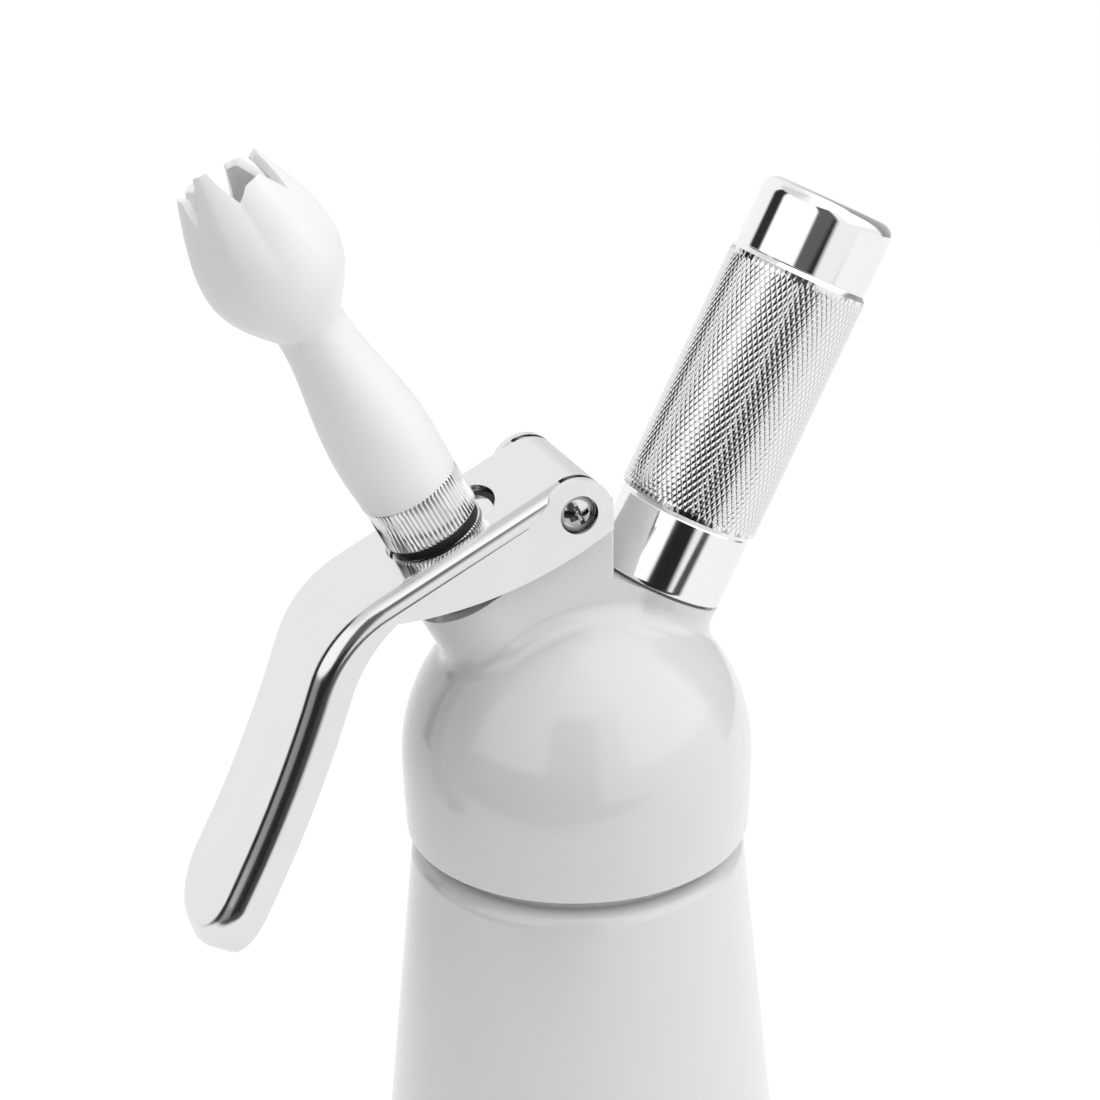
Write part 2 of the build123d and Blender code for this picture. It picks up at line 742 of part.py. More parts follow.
with BuildPart() as decorator_tip:
    # Tube that swells, tapers to a waist and opens into the tulip.
    waist = tip_point(tip_waist_radius, tip_waist_reach)
    belly = tip_point(tulip_radius, tulip_belly_reach)
    mouth = tip_point(tulip_mouth_radius, tip_reach)
    socket_radius = collar_spigot_radius + thread_play
    socket_end = collar_spigot_height + thread_play
    with BuildSketch(nozzle_branch) as tip_form:
        with BuildLine():
            Spline(
                tip_point(tip_base_radius, 0),
                tip_point(tip_swell_radius, tip_swell_reach),
                tip_point(tip_taper_radius, tip_taper_reach),
                waist,
                tangents=((0, 1), (0, 1)),
            )
            Spline(waist, belly, mouth, tangents=((1, tulip_foot_slope), (-tulip_mouth_slope, 1)))
            lip = Line(mouth, tip_point(tulip_mouth_radius - tip_wall, tip_reach))
            Spline(
                lip @ 1,
                tip_point(tulip_radius - tip_wall, tulip_belly_reach),
                tip_point(tip_passage_radius, tip_waist_reach),
                tangents=((tulip_mouth_slope, -1), (-1, -tulip_foot_slope)),
            )
            Polyline(
                tip_point(tip_passage_radius, tip_waist_reach),
                tip_point(tip_throat_radius, tip_throat_reach),
                tip_point(socket_radius, socket_end),
                tip_point(socket_radius, 0),
                tip_point(tip_base_radius, 0),
            )
        make_face()
    revolve(tip_form.sketch, axis=axis_of(nozzle_branch))

    # V notches that leave the petals.
    notch_width = 2 * pi * tulip_mouth_radius / petal_count - petal_top_width
    valley = petal_notch_depth / notch_width
    mouth_centre = spot(nozzle_branch, collar_top + tip_reach)
    front = Plane(origin=mouth_centre, x_dir=nozzle_branch.x_dir, z_dir=(0, -1, 0))
    with BuildSketch(front) as notch:
        with BuildLine():
            Polyline((-notch_width, notch_width * valley), (0, -petal_notch_depth),
                     (notch_width, notch_width * valley), close=True)
        make_face()
    for turned in range(petal_count):
        cutter = extrude(notch.sketch, amount=tulip_radius, mode=Mode.PRIVATE)
        add(cutter.rotate(axis_of(nozzle_branch), turned * 360 / petal_count), mode=Mode.SUBTRACT)
decorator_tip.part.label = "decorator_tip"

# ================================================================ export
os.makedirs("parts", exist_ok=True)
export_step(bottle.part, "parts/bottle.step")
export_step(head_gasket.part, "parts/head_gasket.step")
export_step(head.part, "parts/head.step")
export_step(inlet_gasket.part, "parts/inlet_gasket.step")
export_step(inlet_valve.part, "parts/inlet_valve.step")
export_step(check_sleeve.part, "parts/check_sleeve.step")
export_step(piercing_pin.part, "parts/piercing_pin.step")
export_step(charger_seal.part, "parts/charger_seal.step")
export_step(charger.part, "parts/charger.step")
export_step(charger_closure.part, "parts/charger_closure.step")
export_step(charger_holder.part, "parts/charger_holder.step")
export_step(lever.part, "parts/lever.step")
export_step(pivot_screws.part, "parts/pivot_screws.step")
export_step(valve_stem.part, "parts/valve_stem.step")
export_step(poppet_seal.part, "parts/poppet_seal.step")
export_step(stem_seal.part, "parts/stem_seal.step")
export_step(stem_spring.part, "parts/stem_spring.step")
export_step(stem_nut.part, "parts/stem_nut.step")
export_step(tip_seal.part, "parts/tip_seal.step")
export_step(tip_collar.part, "parts/tip_collar.step")
export_step(decorator_tip.part, "parts/decorator_tip.step")
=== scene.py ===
import json
import math

import bmesh
import bpy
from bpy.props import FloatProperty, FloatVectorProperty, IntProperty, PointerProperty
from mathutils import Matrix, Vector


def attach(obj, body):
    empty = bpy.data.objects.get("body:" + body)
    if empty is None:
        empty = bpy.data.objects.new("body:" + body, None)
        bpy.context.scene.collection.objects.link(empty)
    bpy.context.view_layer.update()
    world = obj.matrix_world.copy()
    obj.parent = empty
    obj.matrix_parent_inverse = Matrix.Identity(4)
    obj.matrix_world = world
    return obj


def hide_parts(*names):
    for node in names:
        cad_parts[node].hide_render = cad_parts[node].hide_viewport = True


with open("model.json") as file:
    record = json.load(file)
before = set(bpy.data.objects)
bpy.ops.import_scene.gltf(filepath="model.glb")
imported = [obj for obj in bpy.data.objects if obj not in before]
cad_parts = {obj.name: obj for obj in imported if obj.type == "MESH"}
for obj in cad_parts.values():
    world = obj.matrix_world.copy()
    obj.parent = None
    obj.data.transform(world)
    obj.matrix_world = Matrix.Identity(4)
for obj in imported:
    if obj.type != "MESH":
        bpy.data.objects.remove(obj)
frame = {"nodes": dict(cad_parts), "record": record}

bl_info = {
    "name": "Cream Dispenser Looks",
    "version": (1, 0, 0),
    "blender": (4, 5, 0),
    "location": "View3D > Sidebar > Dispenser",
    "description": "Materials, knurls, threads, tulip tip and studio for a cream dispenser frame",
    "category": "Object",
}

# Frame sizes that the pieces are built on, in metres and degrees.
DOME = Vector((0, 0, 0.1824))          # where the charger branch starts
CHARGER_TILT = 27.2
NOZZLE_ROOT = Vector((0, 0, 0.1799))   # where the valve's axis starts
NOZZLE_TILT = -27.5
PIVOT = Vector((-0.0045, 0, 0.234))
COLLAR_BASE, COLLAR_TOP = 0.05822, 0.06702                 # along the valve's axis
NUT_FOOT, NUT_SEAT, NUT_TOP = 0.04862, 0.05512, 0.05632    # along the valve's axis
NECK_LEDGE = 0.1651                    # where the head's rim comes down to the bottle
MM = 0.001
WELD = 1e-6                            # vertices closer than this are one

# Tones and finishes.
FINISH = "dispenser_"                  # starts the names of the materials made here
ENAMEL = (0.71, 0.712, 0.715)
ENAMEL_DARK, ENAMEL_LIGHT = (0.705, 0.707, 0.71), (0.715, 0.717, 0.72)
# Painted shade: the bottle's neck above the ledge is coloured dark for the shadow in the gap under
# the head's rim.
NECK_PAINTED_SHADE = (0.10, 0.10, 0.105)
# Painted shade: knurled metals are darkened down in their grooves, where shade falls.
GROOVE_PAINTED_SHADE = (0.46, 0.46, 0.465)
GROOVE_SHADE_POWER = 4.0                     # keeps the painted shade down at the bottom of a groove
METAL_SHADE, SOFT_SHADE = 0.93, 0.97   # darkest share of a tone
# Metals that get the painted shade in their knurl's grooves.
GROOVE_SHADED_METALS = ("chromed_brass", "bright_aluminium")
# Colour; tilt of the lines about Y in degrees, their stretch, scale and height; roughness from
# and to; anisotropy.
METALS = {
    "lever_steel": ((0.82, 0.815, 0.805), 0, (18.0, 900.0, 18.0), 6.0, 8e-7, 0.12, 0.16, 0.2),
    "chromed_steel": ((0.48, 0.48, 0.49), 0, (1.0, 1.0, 1.0), 700.0, 1e-6, 0.06, 0.12, 0.0),
    "chromed_brass": ((0.84, 0.84, 0.85), -NOZZLE_TILT, (1.0, 1.0, 40.0), 160.0, 1e-6,
                      0.06, 0.12, 0.0),
    "bright_aluminium": ((0.93, 0.93, 0.935), -CHARGER_TILT, (1.0, 1.0, 60.0), 110.0, 8e-7,
                         0.06, 0.10, 0.0),
    "machined_steel": ((0.66, 0.65, 0.64), -NOZZLE_TILT, (1.0, 1.0, 60.0), 90.0, 2e-6,
                       0.22, 0.34, 0.2),
    "charger_steel": ((0.60, 0.61, 0.63), -CHARGER_TILT, (60.0, 60.0, 1.0), 40.0, 2e-6,
                      0.26, 0.38, 0.2),
    "spring_steel": ((0.55, 0.55, 0.56), 0, (1.0, 1.0, 8.0), 400.0, 1e-6, 0.2, 0.3, 0.0),
}
# Colour; roughness from and to; scale and height of the skin's ripple; subsurface weight and scale.
SOFTS = {
    "white_plastic": ((0.93, 0.93, 0.925), 0.30, 0.38, 500.0, 5e-6, 0.35, 0.003),
    "silicone": ((0.70, 0.70, 0.68), 0.42, 0.55, 350.0, 1e-5, 0.2, 0.003),
    "black_rubber": ((0.018, 0.018, 0.019), 0.35, 0.55, 600.0, 1.2e-5, 0.0, 0.001),
}


# ---------------------------------------------------------------- settings
class KnurlSettings(bpy.types.PropertyGroup):
    """Diamond knurl of the charger holder"""
    around: IntProperty(name="Diamonds around", description="Diamonds in one turn",
                        default=74, min=8)
    rows: IntProperty(name="Rows", description="Rows of diamonds along the grip",
                      default=24, min=2)
    depth: FloatProperty(name="Depth", description="Depth of the grooves", default=0.00011,
                         unit='LENGTH', subtype='DISTANCE')
    land: FloatProperty(name="Groove width", description="Half-width of a groove's slope",
                        default=0.00035, unit='LENGTH', subtype='DISTANCE')


class RibSettings(bpy.types.PropertyGroup):
    """Straight knurl of the collar and the nut"""
    collar_ribs: IntProperty(name="Collar ribs", description="Ribs round the collar",
                             default=66, min=8)
    nut_ribs: IntProperty(name="Nut ribs", description="Ribs round the nut", default=80, min=8)
    depth: FloatProperty(name="Depth", description="Depth between two ribs", default=0.00045,
                         unit='LENGTH', subtype='DISTANCE')


class TulipSettings(bpy.types.PropertyGroup):
    """Petals of the decorator tip"""
    pleat: FloatProperty(name="Pleat depth", description="How far a petal's edges fold inwards",
                         default=0.00075, unit='LENGTH', subtype='DISTANCE')
    wall: FloatProperty(name="Wall", description="Wall thickness of the tulip", default=0.0015,
                        unit='LENGTH', subtype='DISTANCE')


class ThreadSettings(bpy.types.PropertyGroup):
    """Screw threads"""
    neck_pitch: FloatProperty(name="Neck pitch", description="Lead of the bottle's thread",
                              default=0.004, unit='LENGTH', subtype='DISTANCE')
    stud_pitch: FloatProperty(name="Stud pitch", description="Pitch of the stud and stem threads",
                              default=0.0015, unit='LENGTH', subtype='DISTANCE')


class StageSettings(bpy.types.PropertyGroup):
    """Camera of the stage"""
    position: FloatVectorProperty(name="Camera position", description="Where the camera stands",
                                  default=(-0.1377, -0.3391, 0.3745), subtype='TRANSLATION',
                                  size=3)
    azimuth: FloatProperty(name="Azimuth", description="Camera's turn round the object",
                           default=math.radians(-22.1), subtype='ANGLE')
    elevation: FloatProperty(name="Elevation", description="Camera's height over the horizon",
                             default=math.radians(19.41), subtype='ANGLE')
    roll: FloatProperty(name="Roll", description="Camera's roll", default=math.radians(-0.65),
                        subtype='ANGLE')
    lens: FloatProperty(name="Lens", description="Focal length on a 36 mm square sensor",
                        default=72.08)


SETTINGS = (KnurlSettings, RibSettings, TulipSettings, ThreadSettings, StageSettings)
SETTING_NAMES = ("dispenser_knurl", "dispenser_ribs", "dispenser_tulip", "dispenser_threads",
                 "dispenser_stage")


# ---------------------------------------------------------------- mesh helpers
def branch_matrix(origin, tilt):
    """Places a piece modelled along +Z on a branch."""
    return Matrix.Translation(origin) @ Matrix.Rotation(math.radians(tilt), 4, 'Y')


CHARGER_BRANCH = branch_matrix(DOME, CHARGER_TILT)
NOZZLE_BRANCH = branch_matrix(NOZZLE_ROOT, NOZZLE_TILT)


def clamped(value):
    """A value held between 0 and 1."""
    return min(max(value, 0), 1)


def in_metres(points):
    """Outline points from millimetres."""
    return [(radius * MM, height * MM) for radius, height in points]


def spin_profile(bm, profile, steps):
    """Turns a polyline of (radius, height) in metres about Z."""
    known = set(bm.verts)
    verts = [bm.verts.new((radius, 0, height)) for radius, height in profile]
    edges = [bm.edges.new(pair) for pair in zip(verts, verts[1:])]
    bmesh.ops.spin(bm, geom=verts + edges, cent=(0, 0, 0), axis=(0, 0, 1), angle=math.tau,
                   steps=steps, use_merge=True, use_duplicate=False)
    made = [vert for vert in bm.verts if vert not in known]
    bmesh.ops.remove_doubles(bm, verts=made, dist=WELD)


def rounded(start, corner, end, radius, steps):
    """Polyline points of a round at a corner between two points."""
    corner = Vector(corner)
    into = (Vector(start) - corner).normalized()
    out = (Vector(end) - corner).normalized()
    half = into.angle(out) / 2
    reach = radius / math.tan(half)
    centre = corner + (into + out).normalized() * (radius / math.sin(half))
    first = corner + into * reach - centre
    last = corner + out * reach - centre
    points = []
    for step in range(steps + 1):
        arm = first.slerp(last, step / steps).normalized() * radius
        points.append(tuple(centre + arm))
    return points


def finish_piece(name, bm, body, slot, *nodes, crease):
    """Turns a bmesh into a shown piece that rides on a body and may stand for CAD nodes."""
    bmesh.ops.recalc_face_normals(bm, faces=bm.faces)
    mesh = bpy.data.meshes.new(name)
    bm.to_mesh(mesh)
    bm.free()
    mesh.polygons.foreach_set("use_smooth", [True] * len(mesh.polygons))
    mesh.set_sharp_from_angle(angle=math.radians(crease))
    mesh.materials.append(material_of(slot))
    piece = bpy.data.objects.new(name, mesh)
    bpy.context.scene.collection.objects.link(piece)
    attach(piece, body)
    if nodes:
        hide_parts(*nodes)
    return piece


# ---------------------------------------------------------------- shader helpers
def add_node(tree, kind, inputs=None, **settings):
    """Adds a shader node; an input given as a socket is linked, anything else is its value."""
    made = tree.nodes.new(kind)
    for key, value in settings.items():
        setattr(made, key, value)
    for key, value in (inputs or {}).items():
        if isinstance(value, bpy.types.NodeSocket):
            tree.links.new(value, made.inputs[key])
        else:
            made.inputs[key].default_value = value
    return made


def new_group(name, inputs, outputs):
    """Makes an empty shader group with its interface; returns (group, input node, output node)."""
    group = bpy.data.node_groups.new(name, 'ShaderNodeTree')
    for socket_name, kind, default in inputs:
        socket = group.interface.new_socket(name=socket_name, in_out='INPUT', socket_type=kind)
        socket.default_value = default
    for socket_name, kind in outputs:
        group.interface.new_socket(name=socket_name, in_out='OUTPUT', socket_type=kind)
    return group, group.nodes.new('NodeGroupInput'), group.nodes.new('NodeGroupOutput')


def ripple_group():
    """Soft surface ripple, such as the orange peel of enamel or moulded plastic."""
    group, source, sink = new_group("SurfaceRipple", (("Scale", 'NodeSocketFloat', 300.0),
                                                      ("Height", 'NodeSocketFloat', 1e-5)),
                                    (("Normal", 'NodeSocketVector'),))
    place = add_node(group, 'ShaderNodeTexCoord')
    noise = add_node(group, 'ShaderNodeTexNoise',
                     {"Vector": place.outputs["Object"], "Scale": source.outputs["Scale"],
                      "Detail": 2.0, "Roughness": 0.45})
    bump = add_node(group, 'ShaderNodeBump', {"Height": noise.outputs["Fac"], "Strength": 1.0,
                                              "Distance": source.outputs["Height"]})
    group.links.new(bump.outputs["Normal"], sink.inputs["Normal"])
    return group


def mottle_group():
    """Uneven value between two limits, for roughness and tone."""
    group, source, sink = new_group("Mottle", (("Scale", 'NodeSocketFloat', 60.0),
                                               ("Low", 'NodeSocketFloat', 0.1),
                                               ("High", 'NodeSocketFloat', 0.2)),
                                    (("Value", 'NodeSocketFloat'),))
    place = add_node(group, 'ShaderNodeTexCoord')
    noise = add_node(group, 'ShaderNodeTexNoise',
                     {"Vector": place.outputs["Object"], "Scale": source.outputs["Scale"],
                      "Detail": 6.0, "Roughness": 0.6, "Distortion": 0.4})
    spread = add_node(group, 'ShaderNodeMapRange',
                      {"Value": noise.outputs["Fac"], "From Min": 0.3, "From Max": 0.7,
                       "To Min": source.outputs["Low"], "To Max": source.outputs["High"]})
    group.links.new(spread.outputs["Result"], sink.inputs["Value"])
    return group


def grain_group():
    """Fine lines: brushing on sheet, or lathe marks when the tilt follows an axis."""
    group, source, sink = new_group("LineGrain",
                                    (("Tilt", 'NodeSocketVector', (0.0, 0.0, 0.0)),
                                     ("Stretch", 'NodeSocketVector', (1.0, 1.0, 60.0)),
                                     ("Scale", 'NodeSocketFloat', 120.0),
                                     ("Height", 'NodeSocketFloat', 2e-6)),
                                    (("Value", 'NodeSocketFloat'),
                                     ("Normal", 'NodeSocketVector')))
    place = add_node(group, 'ShaderNodeTexCoord')
    turned = add_node(group, 'ShaderNodeVectorRotate',
                      {"Vector": place.outputs["Object"], "Rotation": source.outputs["Tilt"]},
                      rotation_type='EULER_XYZ')
    stretched = add_node(group, 'ShaderNodeVectorMath',
                         {0: turned.outputs["Vector"], 1: source.outputs["Stretch"]},
                         operation='MULTIPLY')
    noise = add_node(group, 'ShaderNodeTexNoise',
                     {"Vector": stretched.outputs["Vector"], "Scale": source.outputs["Scale"],
                      "Detail": 4.0, "Roughness": 0.65})
    bump = add_node(group, 'ShaderNodeBump', {"Height": noise.outputs["Fac"], "Strength": 1.0,
                                              "Distance": source.outputs["Height"]})
    group.links.new(noise.outputs["Fac"], sink.inputs["Value"])
    group.links.new(bump.outputs["Normal"], sink.inputs["Normal"])
    return group


def use_group(tree, group, **values):
    """Puts a shared group into a material and sets its inputs."""
    made = tree.nodes.new('ShaderNodeGroup')
    made.node_tree = group
    for key, value in values.items():
        made.inputs[key].default_value = value
    return made


def new_material(name, colour, **values):
    """A material with its Principled BSDF; values go to the shader's own sockets."""
    material = bpy.data.materials.new(FINISH + name)
    material.use_nodes = True
    material.diffuse_color = (*colour, 1)
    shader = material.node_tree.nodes["Principled BSDF"]
    shader.inputs["Base Color"].default_value = (*colour, 1)
    for key, value in values.items():
        shader.inputs[key.replace("_", " ")].default_value = value
    return material, material.node_tree, shader


def drive(tree, source, shader, socket):
    """Links a value, colour or normal into the shader."""
    tree.links.new(source, shader.inputs[socket])


def toned(tree, share, dark, light):
    """A colour between two, each of them a tone or a node's colour."""
    ends = [end if isinstance(end, bpy.types.NodeSocket) else (*end, 1) for end in (dark, light)]
    mix = add_node(tree, 'ShaderNodeMix', {"Factor": share, 6: ends[0], 7: ends[1]},
                   data_type='RGBA')
    return mix.outputs[2]


def blended(tree, share, low, high):
    """A value between two."""
    return add_node(tree, 'ShaderNodeMix', {"Factor": share, 2: low, 3: high}).outputs[0]


def smooth_rise(tree, value, span):
    """0 below a span, 1 above it and a soft rise within it."""
    rise = add_node(tree, 'ShaderNodeMapRange',
                    {"Value": value, "From Min": span[0], "From Max": span[1]},
                    interpolation_type='SMOOTHSTEP')
    return rise.outputs["Result"]


def paint_neck_shade(tree, white):
    """Paints shade on the bottle's neck: dark above the ledge that the head comes down to, for the
    shadow in the gap under the head's rim.
    """
    place = add_node(tree, 'ShaderNodeTexCoord').outputs["Object"]
    height = add_node(tree, 'ShaderNodeSeparateXYZ', {"Vector": place}).outputs["Z"]
    shade_share = add_node(tree, 'ShaderNodeMapRange', {"Value": height, "From Min": NECK_LEDGE,
                                                 "From Max": NECK_LEDGE + 0.2 * MM})
    return toned(tree, shade_share.outputs["Result"], white, NECK_PAINTED_SHADE)


def paint_groove_shade(tree, colour):
    """Paints shade on a metal down in the grooves of a knurl, by the piece's own attribute."""
    groove = add_node(tree, 'ShaderNodeAttribute', attribute_name="groove").outputs["Fac"]
    narrow = add_node(tree, 'ShaderNodeMath', {0: groove, 1: GROOVE_SHADE_POWER}, operation='POWER')
    return toned(tree, narrow.outputs["Value"], colour, GROOVE_PAINTED_SHADE)


def enamel(name, ripple, mottle):
    """Enamelled cast metal under a clear coat; the bottle's neck above its ledge gets a painted
    shade.
    """
    material, tree, shader = new_material(name, ENAMEL, Coat_Weight=1.0, Coat_Roughness=0.025,
                                          Coat_IOR=1.5, IOR=1.4)
    peel = use_group(tree, ripple, Scale=260.0, Height=2.5e-6)
    haze = use_group(tree, mottle, Scale=45.0, Low=0.25, High=0.27)
    tone = use_group(tree, mottle, Scale=14.0, Low=0.0, High=1.0)
    drive(tree, peel.outputs["Normal"], shader, "Normal")
    drive(tree, peel.outputs["Normal"], shader, "Coat Normal")
    drive(tree, haze.outputs["Value"], shader, "Roughness")
    white = toned(tree, tone.outputs["Value"], ENAMEL_DARK, ENAMEL_LIGHT)
    # The bottle's neck gets its painted shade.
    if name == "white_enamel":
        white = paint_neck_shade(tree, white)
    drive(tree, white, shader, "Base Color")
    return material


def metal(name, grain, mottle):
    """Bare or plated metal with its brushing or lathe marks."""
    colour, tilt, stretch, scale, height, low, high, lean = METALS[name]
    material, tree, shader = new_material(name, colour, Metallic=1.0, Anisotropic=lean)
    lines = use_group(tree, grain, Tilt=(0, math.radians(tilt), 0), Stretch=stretch, Scale=scale,
                      Height=height)
    smear = use_group(tree, mottle, Scale=55.0, Low=low, High=high)
    drive(tree, lines.outputs["Normal"], shader, "Normal")
    drive(tree, smear.outputs["Value"], shader, "Roughness")
    darker = tuple(part * METAL_SHADE for part in colour)
    tone = toned(tree, lines.outputs["Value"], darker, colour)
    # Knurled metals get painted shade down in their grooves.
    if name in GROOVE_SHADED_METALS:
        tone = paint_groove_shade(tree, tone)
    drive(tree, tone, shader, "Base Color")
    return material


def soft(name, ripple, mottle):
    """Moulded plastic, silicone or rubber."""
    colour, low, high, scale, height, depth, radius = SOFTS[name]
    material, tree, shader = new_material(name, colour, Subsurface_Weight=depth,
                                          Subsurface_Scale=radius,
                                          Subsurface_Radius=(1.0, 1.0, 1.0))
    skin = use_group(tree, ripple, Scale=scale, Height=height)
    haze = use_group(tree, mottle, Scale=80.0, Low=low, High=high)
    tone = use_group(tree, mottle, Scale=25.0, Low=0.0, High=1.0)
    drive(tree, skin.outputs["Normal"], shader, "Normal")
    drive(tree, haze.outputs["Value"], shader, "Roughness")
    darker = tuple(part * SOFT_SHADE for part in colour)
    drive(tree, toned(tree, tone.outputs["Value"], darker, colour), shader, "Base Color")
    return material


def build_materials():
    """Makes the shared groups once and every material of the dispenser."""
    ripple, mottle, grain = ripple_group(), mottle_group(), grain_group()
    made = {name: enamel(name, ripple, mottle) for name in ("white_enamel", "white_enamel_head")}
    made.update({name: metal(name, grain, mottle) for name in METALS})
    made.update({name: soft(name, ripple, mottle) for name in SOFTS})
    return made


def material_of(name):
    """A material made by the finish operator."""
    if FINISH + name not in bpy.data.materials:
        raise KeyError(f"material {name} is missing: run the finish operator first")
    return bpy.data.materials[FINISH + name]


# ---------------------------------------------------------------- pieces
class DISPENSER_OT_holder(bpy.types.Operator):
    """Model the charger holder with its diamond knurl"""
    bl_idname = "dispenser.holder"
    bl_label = "Knurled Charger Holder"

    # Radii, and heights along the branch, in millimetres.
    SKIN, GRIP, GROOVE, THREAD, BORE = 12.6, 13.1, 12.45, 10.75, 9.25
    FOOT, GRIP_LOW, GRIP_HIGH, END = 35.05, 48.65, 97.05, 110.7
    THREAD_TOP, BORE_LOW, BORE_TOP = 48.4, 49.9, 108.1
    END_ROUND, FOOT_ROUND = 2.8, 0.35
    # Rings that keep the shading of the rounds tight.
    END_FLAT, END_SIDE, FOOT_SIDE = 9.4, 107.6, 35.9
    # The groove at an end of the grip: radius, and how far past the grip's end.
    EDGE = ((SKIN, 0.65), (SKIN, 0.35), (GROOVE, 0.1), (SKIN, -0.15), (GRIP, -0.75))

    def execute(self, context):
        knurl = context.scene.dispenser_knurl
        bm = bmesh.new()
        above, below = self.outlines()
        spin_profile(bm, above, knurl.around * 2)
        spin_profile(bm, below, knurl.around * 2)
        # Marks the bottoms of the knurl's grooves, where the material paints shade.
        groove = bm.verts.layers.float.new("groove")
        self.wrap_diamonds(bm, knurl, groove, above[-1][0], below[0][1], above[-1][1])
        bmesh.ops.remove_doubles(bm, verts=bm.verts, dist=2 * WELD)
        bm.transform(CHARGER_BRANCH)
        finish_piece("knurled_holder", bm, "holder", "bright_aluminium", "charger_holder",
                     crease=25)
        return {'FINISHED'}

    def outlines(self):
        """The holder above its grip, and from below its grip round to the end of its bore."""
        above = [(0, self.END), (self.END_FLAT, self.END)]
        above += rounded((0, self.END), (self.SKIN, self.END), (self.SKIN, self.GRIP_HIGH),
                         self.END_ROUND, 14)
        above.append((self.SKIN, self.END_SIDE))
        above += [(radius, self.GRIP_HIGH + past) for radius, past in self.EDGE]
        below = [(radius, self.GRIP_LOW - past) for radius, past in reversed(self.EDGE)]
        below.append((self.SKIN, self.FOOT_SIDE))
        below += rounded((self.SKIN, self.GRIP_LOW), (self.SKIN, self.FOOT),
                         (self.THREAD, self.FOOT), self.FOOT_ROUND, 3)
        below += [(self.THREAD, self.FOOT), (self.THREAD, self.THREAD_TOP),
                  (self.BORE, self.BORE_LOW), (self.BORE, self.BORE_TOP), (0, self.BORE_TOP)]
        return in_metres(above), in_metres(below)

    def wrap_diamonds(self, bm, knurl, groove, radius, base, top):
        """Grid of quads, poked into diamonds, rolled up to a tube and raised one by one."""
        known = set(bm.verts)
        bmesh.ops.create_grid(bm, x_segments=knurl.around, y_segments=knurl.rows, size=0.5)
        squares = [face for face in bm.faces if face.verts[0] not in known]
        bmesh.ops.poke(bm, faces=squares)
        tube = [vert for vert in bm.verts if vert not in known]
        for vert in tube:
            angle = (vert.co.x + 0.5) * math.tau
            height = base + (vert.co.y + 0.5) * (top - base)
            vert.co = (radius * math.cos(angle), radius * math.sin(angle), height)
        bmesh.ops.remove_doubles(bm, verts=tube, dist=WELD)
        straight = [edge for edge in bm.edges
                    if all(vert not in known for vert in edge.verts)
                    and len(edge.link_faces) == 2 and self.is_straight(edge)]
        bmesh.ops.dissolve_edges(bm, edges=straight, use_verts=False)
        skin = [face for face in bm.faces if face.verts[0] not in known]
        diamonds = [face for face in skin if len(face.verts) == 4]
        bmesh.ops.recalc_face_normals(bm, faces=skin)
        # The groove mark, 1 down in the grooves and later 0 on the raised tops, places the painted
        # shade.
        for vert in {vert for face in diamonds for vert in face.verts}:
            vert[groove] = 1.0
        level = diamonds[0].calc_center_median() * Vector((1, 1, 0))
        outwards = diamonds[0].normal.dot(level) > 0
        bmesh.ops.inset_individual(bm, faces=diamonds, thickness=knurl.land,
                                   depth=knurl.depth if outwards else -knurl.depth,
                                   use_even_offset=True)
        for vert in bm.verts:
            if vert not in known and vert.co.xy.length > radius + knurl.depth * 0.5:
                vert[groove] = 0.0

    @staticmethod
    def is_straight(edge):
        """Whether an edge runs along or round the tube rather than across a diamond's side."""
        first, last = edge.verts
        level = abs(first.co.z - last.co.z) < WELD
        upright = (first.co.xy - last.co.xy).length < WELD
        return level or upright


